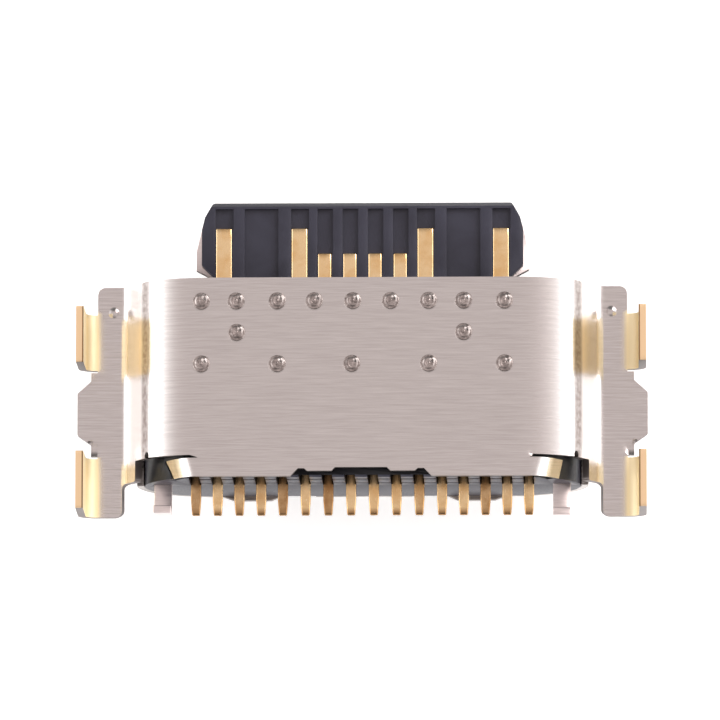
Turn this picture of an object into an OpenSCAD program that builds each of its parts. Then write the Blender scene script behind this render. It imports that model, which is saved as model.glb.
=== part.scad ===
// Reversible 24-contact charging socket for a phone board.
// It lies on its far-side cover with the board side up: the tongue points to +y, the solder tails to -y,
// and the four legs stand up. The mouth plane is at y = mouth_y.

/* [Opening] */
// Width of the opening that takes the plug
opening_w = 8.34; // [8.28:0.01:8.4]
// Height of the opening
opening_h = 2.56; // [2.52:0.01:2.6]
// Depth of the cavity behind the mouth
cavity_depth = 2.75; // [2.65:0.01:2.8]

/* [Sheets] */
// Thickness of the tube sheet
tube_t = 0.15; // [0.12:0.01:0.18]
// Length of the tube behind the mouth
tube_len = 3.4; // [3.35:0.01:3.43]
// Width of the seam along the tube
seam_w = 0.04; // [0.02:0.01:0.08]
// Thickness of the bracket sheet
bracket_t = 0.15; // [0.12:0.01:0.18]
// Thickness of the cover sheet
cover_t = 0.15; // [0.12:0.01:0.18]
// Gap between sheets that lie on each other
fit_gap = 0.01; // [0.005:0.005:0.02]

/* [Bracket crown] */
// Length of the crown and of the moulding behind the mouth
body_len = 3.95; // [3.9:0.01:4]
// Length of the round shoulders behind the mouth
shoulder_len = 3.52; // [3.46:0.01:3.56]
// Diameter of a weld spot
weld_d = 0.34; // [0.2:0.01:0.36]
// Depth of a weld spot
weld_depth = 0.04; // [0.02:0.01:0.06]
// Distance from the mouth to the first row of weld spots
weld_start = 0.465; // [0.4:0.005:0.6]
// Distance between rows of weld spots
weld_rows = 0.625; // [0.5:0.005:0.7]
// Angle of the walls below the round shoulders
wall_angle = 55; // [52:1:58]
// Gap between the shoulders and the sides of the tube
side_gap = 0.06; // [0.03:0.01:0.07]
// Half width of the cut-out in the back edge
cut_half = 1.39; // [1.36:0.01:1.5]
// Depth of the cut-out in the back edge
cut_depth = 0.17; // [0.15:0.01:0.2]

/* [Corner tabs] */
// Distance from the middle to the first bend of a corner tab
tab_x = 3.36; // [3.34:0.01:3.42]
// Angle of the first bend of a corner tab
tab_angle = 45; // [42:1:48]
// Length from the first bend to the second
tab_step = 0.32; // [0.28:0.01:0.34]
// Angle of a corner tab past its second bend
tab_end_angle = 58; // [55:1:62]
// Length of a corner tab past its second bend
tab_len = 0.33; // [0.28:0.01:0.38]
// Angle by which the bends of a corner tab are turned in plan
tab_turn = 12; // [6:1:14]
// Gap between a corner tab and the shoulder
tab_gap = 0.06; // [0.03:0.01:0.1]

/* [Wings] */
// Drop from the crown to the face of the wings that sits on the board
wing_drop = 1.27; // [1.22:0.01:1.3]
// Length of the wings behind the mouth
wing_len = 4.6; // [4.58:0.01:4.65]
// Distance from the middle to the outer edge of the wings
wing_half = 5.65; // [5.62:0.01:5.7]
// Distance from the middle to the edge of the front corners
front_half = 5.25; // [5.2:0.01:5.26]
// Distance from the middle to the bottom of the side notches
notch_half = 5.38; // [5.34:0.01:5.42]
// Distance from the middle to the inner edge of the rear ends
rear_half = 4.76; // [4.7:0.01:4.8]
// Radius of the bend between shoulder and wing
wing_bend_r = 0.48; // [0.4:0.01:0.5]
// Diameter of the pressed bumps on the wings
bump_d = 0.24; // [0.16:0.01:0.3]
// Height of the pressed bumps
bump_h = 0.05; // [0.03:0.01:0.07]
// Distance from the middle to a pressed bump
bump_x = 4.88; // [4.84:0.01:4.95]
// Distance from the mouth to a pressed bump
bump_y = 0.5; // [0.4:0.01:0.6]
// Depth of the coined step beside each rear leg
coin_depth = 0.04; // [0.02:0.01:0.06]

/* [Legs] */
// Distance from the middle to the start of the leg bends
leg_x = 5.25; // [5.24:0.01:5.27]
// Height of the legs above the wings
leg_h = 1.27; // [1.1:0.01:1.4]
// Outward lean of the legs
leg_lean = 0; // [0:0.5:1]
// Inner radius of the leg bends
leg_bend_r = 0.22; // [0.18:0.01:0.23]
// Distance from the mouth to the front legs
front_leg_y = 0.55; // [0.5:0.01:0.6]
// Distance from the mouth to the rear legs
rear_leg_y = 3.43; // [3.42:0.01:3.47]
// Width of the legs
leg_w = 1.12; // [1.05:0.01:1.13]
// Width of the relief slits beside the legs
relief_w = 0.05; // [0.03:0.01:0.07]

/* [Tongue] */
// Length by which the tongue stands out of the mouth
tongue_out = 1.7; // [1.65:0.01:1.75]
// Thickness of the tongue
tongue_t = 0.7; // [0.68:0.01:0.72]
// Half width of the moulded tongue
tongue_half = 3.19; // [3.16:0.01:3.22]
// Half width of the waist behind the latch shoulders
waist_half = 2.9; // [2.86:0.01:2.94]
// Distance from the tip to the latch shoulders
shoulder_at = 1.26; // [1.2:0.01:1.32]
// Thickness of the root behind the tongue
root_t = 1.3; // [1.26:0.01:1.34]
// Length of the root in front of the back wall
root_len = 0.9; // [0.8:0.01:1]
// Depth of the channels and pockets in the tongue
channel_depth = 0.09; // [0.05:0.01:0.11]
// Length of the closed bar at the tip
tip_bar = 0.13; // [0.11:0.01:0.2]

/* [Latch plate] */
// Thickness of the latch plate
latch_t = 0.15; // [0.12:0.01:0.16]
// Half width of the latch plate at its shoulders
latch_half = 3.315; // [3.28:0.005:3.34]
// Distance from the middle to each foot
foot_x = 3.945; // [3.92:0.005:3.96]
// Width of a foot
foot_w = 0.35; // [0.3:0.01:0.36]
// Height of the upturned foot end above the board face
foot_h = 0.5; // [0.4:0.01:0.7]

/* [Contacts] */
// Distance between contact positions on the tongue
pitch = 0.5; // [0.49:0.005:0.51]
// Thickness of the contacts
contact_t = 0.12; // [0.1:0.01:0.13]
// Width of the ground and power contacts
wide_w = 0.32; // [0.3:0.01:0.34]
// Width of the signal contacts
narrow_w = 0.27; // [0.24:0.01:0.28]
// Distance from the tip to the ground and power contacts
long_start = 0.525; // [0.45:0.005:0.6]
// Distance from the tip to the signal contacts
short_start = 1.03; // [0.95:0.01:1.1]
// Height of the contacts above the tongue
proud = 0.01; // [0.005:0.005:0.02]
// Distance between the eight inner tails
tail_pitch = 0.45; // [0.44:0.005:0.46]
// Distance between the outer tails
outer_pitch = 0.43; // [0.42:0.005:0.44]
// Width of the tails
tail_w = 0.205; // [0.18:0.005:0.22]
// Width of the tail ends
tail_end_w = 0.16; // [0.12:0.01:0.18]
// Length of the tails behind the mouth
tail_len = 4.56; // [4.4:0.01:4.57]

/* [Shielding pads] */
// Thickness of the shielding pads
pad_t = 0.08; // [0.06:0.01:0.1]
// Length of the shielding pads
pad_len = 0.7; // [0.6:0.01:0.75]
// Height of the folded sides of the shielding pads
pad_side = 0.4; // [0.3:0.01:0.45]

/* [Hidden] */
$fn = 64;

// Heights, from the cover up
tube_r = opening_h / 2 + tube_t;
arc_r = tube_r + fit_gap;
end_x = (opening_w - opening_h) / 2;
mid_z = cover_t + arc_r;
crown_z = mid_z + arc_r + bracket_t;
seat_z = crown_z - wing_drop;
mouth_y = (wing_len - tongue_out) / 2;

// Middle line of the bracket: the corners above and below its walls
sheet_mid = crown_z - bracket_t / 2;
shoulder_r = arc_r + bracket_t / 2;
wall_top = end_x + side_gap + shoulder_r * tan(wall_angle / 2);
wall_foot = wall_top + wing_drop / tan(wall_angle);

// Plan of the wings, distances from the mouth
front_corner_r = 0.15;
wing_tab_front = front_leg_y + leg_w + relief_w;
wing_tab_slope = 0.24;
wing_tab_flat = [2.12, 2.957];
wing_tab_back = 3.147;
wing_root_x = 4.45;
wing_root_y = 3.93;
rear_corner_r = 0.13;
notch_r = 0.05;
slit_x = 3.38;
hole_x = 4.24;
hole_r = 0.08;
coin_inset = 0.04;

// Corners of half the cut-out, from its end inwards: [distance inwards, depth]
cut_corners = [[0.15, cut_depth - 0.02], [0.27, cut_depth - 0.02], [0.33, cut_depth - 0.07],
    [0.81, cut_depth - 0.07], [0.88, cut_depth]];

// Corner tabs
tab_bend_r = 1.5 * bracket_t;
tab_y = (shoulder_len + tab_gap + body_len) / 2;
tab_root = 0.1;

// Weld spots: places of the three rows, seen from the board side
weld_columns = [
    [-3.15, -2.46, -1.65, -0.92, -0.16, 0.585, 1.335, 2.025, 2.83],
    [-2.45, 2.025],
    [-3.15, -1.65, -0.18, 1.335, 2.83]];

// Cover
cover_front = 0.2;
cover_top = seat_z - bracket_t - 0.04;
lobe = 0.09;
dent = 0.07;
lobe_r = 0.1;
lobe_x = [2.85, 2.6, 1.85, 1.5, 1.15, 0.95];

// Moulding
clear = 0.01;
slot_w = tail_w + 0.1;
slot_depth = 0.35;
slot_below = 0.03;
edge = 0.05;
// Grooves in the back: [height, width, depth]
groove = [[2.68, 0.09, 0.08], [2.15, 0.05, 0.05]];
groove_half = 3.39;
// Tongue: chamfers at the tip, and the wide pockets between power and signal contacts
tip_chamfer = [0.09, 0.11];
tip_corner = [[0.23, 0, 0.06], [0.06, 0.3, 0.2], [0, 0.55, 0.1]];
shoulder_slope = 0.28;
pocket = [1.67, 2.34];
pocket_back = 0.2;
// Room beside and ahead of a contact: left, right, front
contact_room = [0.01, 0.03, 0.02];
// First-shot blocks: distances from the stations and faces round them
carrier_back = 0.05;
carrier_front = 0.1;
carrier_skin = [0.05, 0.08];

// Latch plate: edge points, distances from the tip, the sides and the stations
latch_tip = 0.2;
latch_corner = 0.3;
latch_flank = [0.42, 0.95];
latch_notch = [0.07, 0.26];
latch_waist = 0.05;
latch_root = [0.4, 0.3];
latch_r = [0.1, 0.05];
foot_bend_r = 0.12;
foot_room = 0.05;

// Stations along the contacts, distances from the mouth
jog_start = 2.45;
jog_end = 3.15;
rise_start = 3.2;
rise_end = 3.5;
rise_lead = 0.04;
contact_bend_r = 0.08;
overlap = 0.05;
tail_taper = 2 * tail_end_w;
pad_back = 0.1;
far = 20;

// Places of the upper row that hold a contact, of the twelve on the tongue
pins = [1, 4, 5, 6, 7, 8, 9, 12];
middle_pin = 6.5;
signal_reach = 2;

// Tails on each side of the middle that stand at the inner distance
inner_tails = 4;
tails = 8;

function unit(v) = v / norm(v);
function left_of(v) = [-v[1], v[0]];

// Points of an arc about m from p to q
function arc_points(m, p, q, n) =
    let (u = p - m, v = q - m, a = acos(unit(u) * unit(v)))
    [for (k = [0 : n]) m + (sin((1 - k / n) * a) * u + sin(k / n * a) * v) / sin(a)];

// One corner of an outline, rounded to radius r
function corner(before, p, after, r, n) =
    let (
        a = unit(before - p),
        b = unit(after - p),
        half = acos(a * b) / 2,
        cut = r / tan(half)
    )
    r == 0 ? [p] : arc_points(p + unit(a + b) * r / sin(half), p + a * cut, p + b * cut, n);

function xy(c) = [c[0], c[1]];

// Closed outline from corners [x, y, radius]
function outline(c, n = 5) =
    let (m = len(c))
    [for (i = [0 : m - 1])
        each corner(xy(c[(i + m - 1) % m]), xy(c[i]), xy(c[(i + 1) % m]), len(c[i]) > 2 ? c[i][2] : 0, n)];

// Open path from corners [x, y, radius]
function path(c, n = 5) =
    let (m = len(c))
    [xy(c[0]),
     for (i = [1 : m - 2]) each corner(xy(c[i - 1]), xy(c[i]), xy(c[i + 1]), c[i][2], n),
     xy(c[m - 1])];

// Point at distance s to the left of a path's point i
function beside(p, i, s) =
    let (
        m = len(p) - 1,
        a = unit(p[min(i + 1, m)] - p[min(i, m - 1)]),
        b = unit(p[max(i, 1)] - p[max(i - 1, 0)]),
        t = unit(a + b)
    )
    p[i] + left_of(t) * s / (t * a);

// Sheet of thickness t seen on edge, along the middle line p
module strip(p, t) {
    m = len(p) - 1;
    polygon([for (i = [0 : m]) beside(p, i, t / 2), for (i = [m : -1 : 0]) beside(p, i, -t / 2)]);
}

module in_place() translate([0, mouth_y, 0]) children();
module both_sides() {
    children();
    mirror([1, 0, 0]) children();
}

// A profile in x and z, from y = -from back to y = -to
module behind(from, to)
    translate([0, -from, 0]) rotate([90, 0, 0]) linear_extrude(height = to - from) children();

// A profile in y and z, from x = from to x = to
module across(from, to)
    translate([from, 0, 0]) rotate([90, 0, 90]) linear_extrude(height = to - from) children();

// A plan between two heights
module between(low, high)
    translate([0, 0, low]) linear_extrude(height = high - low) children();

module box(x, y, z)
    translate([x[0], y[0], z[0]]) cube([x[1] - x[0], y[1] - y[0], z[1] - z[0]]);

// Slot shape with round ends, as high as 2 r
module stadium(r) {
    for (s = [-1, 1]) translate([s * end_x, mid_z]) circle(r = r);
    translate([-end_x, mid_z - r]) square([2 * end_x, 2 * r]);
}

module ring(inner, outer) difference() {
    stadium(outer);
    stadium(inner);
}

// Bracket: hat section, from the crown over the shoulder and its wall to the wing
module hat()
    for (s = [-1, 1]) scale([s, 1])
        strip(path([
            [0, sheet_mid],
            [wall_top, sheet_mid, shoulder_r],
            [wall_foot, seat_z - bracket_t / 2, wing_bend_r + bracket_t / 2],
            [far, seat_z - bracket_t / 2]], 20), bracket_t);

// Right half of the bracket's outline, seen from the board side
module bracket_plan() polygon(outline([
    [0, 0],
    [front_half, 0, front_corner_r],
    [front_half, -front_leg_y],
    [leg_x, -front_leg_y],
    [leg_x, -front_leg_y - leg_w],
    [notch_half - relief_w, -front_leg_y - leg_w],
    [notch_half - relief_w, -wing_tab_front],
    [notch_half, -wing_tab_front],
    [notch_half, -wing_tab_flat[0] + wing_tab_slope, notch_r],
    [wing_half, -wing_tab_flat[0], notch_r],
    [wing_half, -wing_tab_flat[1], notch_r],
    [notch_half, -wing_tab_back, notch_r],
    [notch_half, -rear_leg_y + relief_w],
    [leg_x, -rear_leg_y + relief_w],
    [leg_x, -wing_len],
    [rear_half, -wing_len, rear_corner_r],
    [rear_half, -wing_root_y, 2 * notch_r],
    [wing_root_x, -wing_root_y, notch_r],
    [wing_root_x, -shoulder_len],
    [slit_x, -shoulder_len],
    [slit_x, -shoulder_len - tab_gap],
    [end_x, -shoulder_len - tab_gap],
    [end_x, -body_len],
    [cut_half, -body_len],
    for (c = cut_corners) [cut_half - c[0], -body_len + c[1]],
    [0, -body_len + cut_depth]]));

// Leg seen from the front: a bend out of the wing and a straight blade
module leg_profile() {
    r = leg_bend_r + bracket_t;
    rise = leg_h - leg_bend_r * (1 + sin(leg_lean));
    tip = rise / cos(leg_lean) + leg_bend_r * tan(leg_lean);
    translate([leg_x, seat_z + leg_bend_r]) {
        intersection() {
            difference() {
                circle(r = r);
                circle(r = leg_bend_r);
            }
            rotate(-leg_lean) polygon([
                [0, 0],
                [far * sin(-leg_lean), -far * cos(leg_lean)],
                [far, -far],
                [far, 0]]);
        }
        rotate(-leg_lean) translate([leg_bend_r, 0]) square([bracket_t, tip]);
    }
}

function down(angle) = [cos(angle), -sin(angle)];

// Corner tab seen from the front, with its two bends
module tab_profile() {
    first = [tab_x, sheet_mid];
    second = first + tab_step * down(tab_angle);
    strip(path([
        [end_x - tab_root, sheet_mid],
        [first[0], first[1], tab_bend_r],
        [second[0], second[1], tab_bend_r],
        second + tab_len * down(tab_end_angle)], 4), bracket_t);
}

module corner_tabs() both_sides() intersection() {
    translate([tab_x, -tab_y, 0]) rotate(-tab_turn) translate([-tab_x, 0, 0])
        behind(-tab_root - tab_len, tab_root + tab_len) tab_profile();
    box([0, far], [-body_len, -shoulder_len - tab_gap], [0, crown_z]);
}

module cap(r, h) {
    ball = (r * r + h * h) / (2 * h);
    translate([0, 0, h - ball]) rotate([90, 0, 0]) sphere(r = ball);
}

module weld_spots()
    for (row_at = [0 : len(weld_columns) - 1]) for (x = weld_columns[row_at])
        translate([x, -weld_start - row_at * weld_rows, crown_z])
            mirror([0, 0, 1]) cap(weld_d / 2, weld_depth);

module bracket() color("silver") in_place() {
    difference() {
        union() {
            intersection() {
                behind(0, wing_len) hat();
                both_sides() between(0, far) bracket_plan();
            }
            both_sides() {
                behind(front_leg_y, front_leg_y + leg_w) leg_profile();
                behind(rear_leg_y, wing_len) leg_profile();
            }
            corner_tabs();
        }
        weld_spots();
        both_sides() {
            translate([hole_x, -shoulder_len + hole_r / 2, 0]) cylinder(r = hole_r, h = far);
            box([leg_x - coin_inset, far], [-rear_leg_y + relief_w, -wing_tab_back + relief_w],
                [seat_z - coin_depth, crown_z]);
        }
    }
    both_sides() translate([bump_x, -bump_y, seat_z]) intersection() {
        cap(bump_d / 2, bump_h);
        cylinder(d = bump_d, h = bump_h);
    }
}

module tube() color("lightgray") in_place() difference() {
    behind(0, tube_len) ring(opening_h / 2, tube_r);
    box([-seam_w / 2, seam_w / 2], [-far, far], [0, mid_z - opening_h / 4]);
}

// Right half of the cover's outline
module cover_plan() polygon(outline([
    [0, -cover_front],
    [far, -cover_front],
    [far, -body_len],
    [lobe_x[0], -body_len, lobe_r],
    [lobe_x[1], -body_len - lobe, lobe_r],
    [lobe_x[2], -body_len - lobe, lobe_r],
    [lobe_x[3], -body_len + dent, lobe_r],
    [lobe_x[4], -body_len + dent, lobe_r],
    [lobe_x[5], -body_len, lobe_r],
    [0, -body_len]]));

module cover() color("silver") in_place() intersection() {
    behind(0, body_len + 2 * lobe) intersection() {
        ring(arc_r, arc_r + cover_t);
        translate([-far / 2, 0]) square([far, cover_top]);
    }
    both_sides() between(-cover_t, crown_z) cover_plan();
}

// Half outline of the tongue from its tip: h is its half width, w the half width of its waist
function tongue_half_outline(h, w) = [
    [0, tongue_out],
    for (c = tip_corner) [h - c[0], tongue_out - c[1], c[2]],
    [h, tongue_out - shoulder_at, 0.03],
    [w, tongue_out - shoulder_at - shoulder_slope, 0.05],
    [w, -cavity_depth + root_len],
    [0, -cavity_depth + root_len]];

module tongue_solid() {
    both_sides() between(mid_z - tongue_t / 2, mid_z + tongue_t / 2)
        polygon(outline(tongue_half_outline(tongue_half, waist_half)));
}

// Stations [x, width, distance from the tip] of the upper row on the tongue
function is_wide(pin) = abs(pin - middle_pin) > signal_reach;
row = [for (pin = pins)
    [(pin - middle_pin) * pitch, is_wide(pin) ? wide_w : narrow_w, is_wide(pin) ? long_start : short_start]];

module tongue_relief() {
    top = mid_z + tongue_t / 2;
    floor_z = top - channel_depth;
    for (c = row)
        box([c[0] - c[1] / 2 - contact_room[0], c[0] + c[1] / 2 + contact_room[1]],
            [tongue_out - c[2] - contact_room[2], tongue_out - tip_bar], [floor_z, crown_z]);
    both_sides()
        box(pocket, [-cavity_depth + root_len + pocket_back, tongue_out - tip_bar], [floor_z, crown_z]);
    across(-far, far) polygon([
        [tongue_out - tip_chamfer[0], top + fit_gap],
        [tongue_out + fit_gap, top - tip_chamfer[1]],
        [tongue_out + fit_gap, top + fit_gap]]);
}

module upside_down() translate([0, 0, mid_z]) mirror([0, 0, 1]) translate([0, 0, -mid_z]) children();

module tail_slots()
    for (k = [-tails : tails]) if (k != 0)
        box([tail_x(k) - slot_w / 2, tail_x(k) + slot_w / 2], [-far, -body_len + slot_depth],
            [seat_z - slot_below, crown_z]);

module housing() color([0.22, 0.23, 0.26]) in_place() difference() {
    union() {
        tongue_solid();
        box([-tongue_half, tongue_half], [-cavity_depth, -cavity_depth + root_len],
            [mid_z - root_t / 2, mid_z + root_t / 2]);
        behind(cavity_depth, tube_len) stadium(opening_h / 2 - clear);
        behind(tube_len, body_len) stadium(tube_r);
    }
    tongue_relief();
    upside_down() tongue_relief();
    tail_slots();
    for (g = groove)
        box([-groove_half, groove_half], [-far, -body_len + g[2]], [g[0] - g[1] / 2, g[0] + g[1] / 2]);
    across(-far, far) polygon([
        [-body_len - fit_gap, mid_z + tube_r - edge],
        [-body_len + edge, mid_z + tube_r + fit_gap],
        [-body_len - fit_gap, mid_z + tube_r + fit_gap]]);
    corner_tabs();
    carrier_block();
    upside_down() carrier_block();
    latch_shape();
    all_contacts();
}

// First-shot block that holds the upper row
module carrier_block()
    box([-waist_half, waist_half], [-rise_start + carrier_back, -jog_start + carrier_front],
        [mid_z + latch_t / 2 + carrier_skin[0], mid_z + root_t / 2 - carrier_skin[1]]);

module upper_carrier() color([0.16, 0.16, 0.18]) in_place() difference() {
    carrier_block();
    all_contacts();
}

module lower_carrier() color([0.16, 0.16, 0.18]) in_place() difference() {
    upside_down() carrier_block();
    all_contacts();
}

module latch_shape() {
    waist = waist_half + latch_waist;
    foot_rear = -tail_len + foot_bend_r;
    both_sides() {
        between(mid_z - latch_t / 2, mid_z + latch_t / 2) polygon(outline([
            [0, tongue_out - latch_tip],
            [tongue_half - latch_corner, tongue_out - latch_tip],
            [tongue_half, tongue_out - latch_flank[0]],
            [latch_half, tongue_out - latch_flank[1], latch_r[0]],
            [latch_half, tongue_out - shoulder_at - latch_notch[0], latch_r[1]],
            [waist, tongue_out - shoulder_at - latch_notch[1], latch_r[1]],
            [waist, -jog_end + latch_root[0]],
            [foot_x + foot_w / 2, -jog_end + latch_root[1]],
            [foot_x + foot_w / 2, -rise_start],
            [foot_x - foot_w / 2, -rise_start],
            [foot_x - foot_w / 2, -jog_end],
            [0, -jog_end]]));
        across(foot_x - foot_w / 2, foot_x + foot_w / 2) strip(path([
            [-jog_end + 2 * foot_room, mid_z],
            [-rise_start - foot_room, mid_z, foot_bend_r],
            [-rise_end, seat_z - latch_t / 2, foot_bend_r],
            [foot_rear, seat_z - latch_t / 2, foot_bend_r],
            [foot_rear, seat_z + foot_h]]), latch_t);
    }
}

module latch_plate() color("gainsboro") in_place() latch_shape();

// Folded pad on the root of the tongue
module pad_shape() {
    top = mid_z + root_t / 2;
    rear = cavity_depth - pad_back;
    behind(rear - pad_len, rear) both_sides() {
        translate([0, top]) square([tongue_half + pad_t, pad_t]);
        translate([tongue_half, top - pad_side]) square([pad_t, pad_side + pad_t]);
    }
}

module upper_pad() color("silver") in_place() pad_shape();
module lower_pad() color("silver") in_place() upside_down() pad_shape();

// Place of tail k, counted from the middle to each side: inner tails, then outer ones
function tail_x(k) =
    let (inner = min(abs(k), inner_tails))
    sign(k) * ((inner - 0.5) * tail_pitch + (abs(k) - inner) * outer_pitch);

// Contact with its blade at height z: it jogs sideways, then steps to the level of the board face
module blade_contact(x, w, start, k, z) {
    t = tail_x(k);
    level = seat_z - contact_t / 2;
    between(z - contact_t / 2, z + contact_t / 2) polygon([
        [x - w / 2, tongue_out - start],
        [x + w / 2, tongue_out - start],
        [x + w / 2, -jog_start],
        [t + tail_w / 2, -jog_end],
        [t + tail_w / 2, -rise_start],
        [t - tail_w / 2, -rise_start],
        [t - tail_w / 2, -jog_end],
        [x - w / 2, -jog_start]]);
    across(t - tail_w / 2, t + tail_w / 2) strip(path([
        [-jog_end, z],
        [-rise_start - rise_lead, z, contact_bend_r],
        [-rise_end, level, contact_bend_r],
        [-rise_end - 2 * overlap, level]], 3), contact_t);
    between(level - contact_t / 2, level + contact_t / 2) polygon([
        [t - tail_w / 2, -rise_end - overlap],
        [t - tail_w / 2, -tail_len + tail_taper],
        [t - tail_end_w / 2, -tail_len],
        [t + tail_end_w / 2, -tail_len],
        [t + tail_w / 2, -tail_len + tail_taper],
        [t + tail_w / 2, -rise_end - overlap]]);
}

module placed(i, k, z) blade_contact(row[i][0], row[i][1], row[i][2], k, z);

// Upper row: place i in the row, tail k
upper_z = mid_z + tongue_t / 2 + proud - contact_t / 2;
module contact_a(i, k) color("goldenrod") in_place() placed(i, k, upper_z);

// Lower row, under the same places
lower_z = 2 * mid_z - upper_z;
module contact_b(i, k) color("goldenrod") in_place() placed(i, k, lower_z);

// Tails of the two rows, by place in the row
a_tails = [-8, -6, -3, -1, 1, 3, 6, 8];
b_tails = [-7, -5, -4, -2, 2, 4, 5, 7];

module all_contacts()
    for (i = [0 : len(pins) - 1]) {
        placed(i, a_tails[i], upper_z);
        placed(i, b_tails[i], lower_z);
    }

bracket();
tube();
cover();
housing();
upper_carrier();
lower_carrier();
latch_plate();
upper_pad();
lower_pad();
contact_a(0, a_tails[0]);  // contact_a1
contact_a(1, a_tails[1]);  // contact_a4
contact_a(2, a_tails[2]);  // contact_a5
contact_a(3, a_tails[3]);  // contact_a6
contact_a(4, a_tails[4]);  // contact_a7
contact_a(5, a_tails[5]);  // contact_a8
contact_a(6, a_tails[6]);  // contact_a9
contact_a(7, a_tails[7]);  // contact_a12
contact_b(0, b_tails[0]);  // contact_b12
contact_b(1, b_tails[1]);  // contact_b9
contact_b(2, b_tails[2]);  // contact_b8
contact_b(3, b_tails[3]);  // contact_b7
contact_b(4, b_tails[4]);  // contact_b6
contact_b(5, b_tails[5]);  // contact_b5
contact_b(6, b_tails[6]);  // contact_b4
contact_b(7, b_tails[7]);  // contact_b1
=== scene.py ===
import math

import bmesh
import bpy
import numpy as np
from mathutils import Matrix, Vector, geometry


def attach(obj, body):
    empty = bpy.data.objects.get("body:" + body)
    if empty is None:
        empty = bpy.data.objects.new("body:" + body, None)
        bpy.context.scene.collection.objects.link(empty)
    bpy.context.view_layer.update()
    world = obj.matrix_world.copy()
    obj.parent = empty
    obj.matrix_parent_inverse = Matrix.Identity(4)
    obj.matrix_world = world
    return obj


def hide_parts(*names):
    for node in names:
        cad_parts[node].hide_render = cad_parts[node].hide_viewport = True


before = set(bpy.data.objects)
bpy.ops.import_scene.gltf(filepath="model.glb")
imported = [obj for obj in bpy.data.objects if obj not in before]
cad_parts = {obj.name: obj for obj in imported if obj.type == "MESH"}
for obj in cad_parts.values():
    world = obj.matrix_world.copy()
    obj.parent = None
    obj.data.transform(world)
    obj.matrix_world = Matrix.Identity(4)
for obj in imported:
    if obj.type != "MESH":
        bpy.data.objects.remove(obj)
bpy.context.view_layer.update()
bpy.context.scene.view_settings.view_transform = "Standard"


# Latch plate: the mid-plate of the tongue. It is blanked from spring stainless sheet. Its notched sides
# stand out of the moulding to hold the plug's latches, and its two feet turn up beside the wings.

def linear(code):
    """The colour that a shader takes, from its sRGB hex code."""
    parts = [int(code[i:i + 2], 16) / 255 for i in (1, 3, 5)]
    return tuple(c / 12.92 if c <= 0.04045 else ((c + 0.055) / 1.055) ** 2.4 for c in parts) + (1.0,)


def fill(tree, node, inputs):
    """Sets a node's inputs. Each takes a value, or the output that is linked to it."""
    for key, value in inputs.items():
        if isinstance(value, bpy.types.NodeSocket):
            tree.links.new(value, node.inputs[key])
        else:
            node.inputs[key].default_value = value


def put(tree, kind, inputs=None, **settings):
    """One node with its settings and its links."""
    node = tree.nodes.new(kind)
    for key, value in settings.items():
        setattr(node, key, value)
    fill(tree, node, inputs or {})
    return node


def new_material(name):
    """An empty material, its tree and its principled shader."""
    made = bpy.data.materials.new(name)
    made.use_nodes = True
    made.node_tree.nodes.clear()
    shader = put(made.node_tree, "ShaderNodeBsdfPrincipled")
    put(made.node_tree, "ShaderNodeOutputMaterial", {"Surface": shader.outputs[0]})
    return made, made.node_tree, shader


def sheet_metal(name, light, dark, rough, along, across, shine=0.12):
    """Rolled or blanked sheet: fine lines on x with a soft sheen across them, under a cloudy tone. The lines are
    1/along mm long and 1/across mm wide, coarser than real rolling lines, so that they show."""
    made, tree, shader = new_material(name)
    at = put(tree, "ShaderNodeTexCoord").outputs["Object"]
    lines = put(tree, "ShaderNodeMapping", {"Vector": at, "Scale": (along * 1000, across * 1000, across * 1000)})
    grain = put(tree, "ShaderNodeTexNoise", {"Vector": lines.outputs[0], "Scale": 1.0, "Detail": 4.0,
                                             "Roughness": 0.6})
    cloud = put(tree, "ShaderNodeTexNoise", {"Vector": at, "Scale": 700.0, "Detail": 2.0})
    both = put(tree, "ShaderNodeMath", {0: grain.outputs[0], 1: cloud.outputs[0]}, operation="MULTIPLY")
    part = put(tree, "ShaderNodeMapRange", {"Value": both.outputs[0], "From Min": 0.12, "From Max": 0.4})
    tone = put(tree, "ShaderNodeMix", {0: part.outputs[0], 6: linear(dark), 7: linear(light)}, data_type="RGBA")
    worn = put(tree, "ShaderNodeMapRange", {"Value": grain.outputs[0], "From Min": 0.3, "From Max": 0.7,
                                            "To Min": rough - 0.05, "To Max": rough + shine})
    relief = put(tree, "ShaderNodeBump", {"Height": grain.outputs[0], "Strength": 0.25, "Distance": 4e-6})
    fill(tree, shader, {"Base Color": tone.outputs[2], "Roughness": worn.outputs[0], "Normal": relief.outputs[0],
                        "Metallic": 1.0})
    return made


def finished(name, mesh, materials, replaced, modifiers=()):
    """Rounds a mesh made in millimetres, turns it to metres and puts it in the object in place of its CAD solids."""
    raw = bpy.data.objects.new(name + "_raw", mesh)
    bpy.context.scene.collection.objects.link(raw)
    for kind, settings in modifiers:
        modifier = raw.modifiers.new(kind.lower(), kind)
        for key, value in settings.items():
            setattr(modifier, key, value)
    made = bpy.data.meshes.new_from_object(raw.evaluated_get(bpy.context.evaluated_depsgraph_get()))
    bpy.data.objects.remove(raw)
    made.transform(Matrix.Scale(0.001, 4))
    made.name = name
    made.materials.clear()
    for material in materials:
        made.materials.append(material)
    piece = bpy.data.objects.new(name, made)
    bpy.context.scene.collection.objects.link(piece)
    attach(piece, "root")
    if replaced:
        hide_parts(*replaced)
    return piece


def rounded(width, steps=2, angle=35):
    """The rounding that stamping or moulding leaves on every edge, width in millimetres."""
    return ("BEVEL", {"width": width, "segments": steps, "limit_method": "ANGLE", "angle_limit": math.radians(angle),
                      "harden_normals": True, "use_clamp_overlap": True, "miter_outer": "MITER_ARC"})


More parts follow.
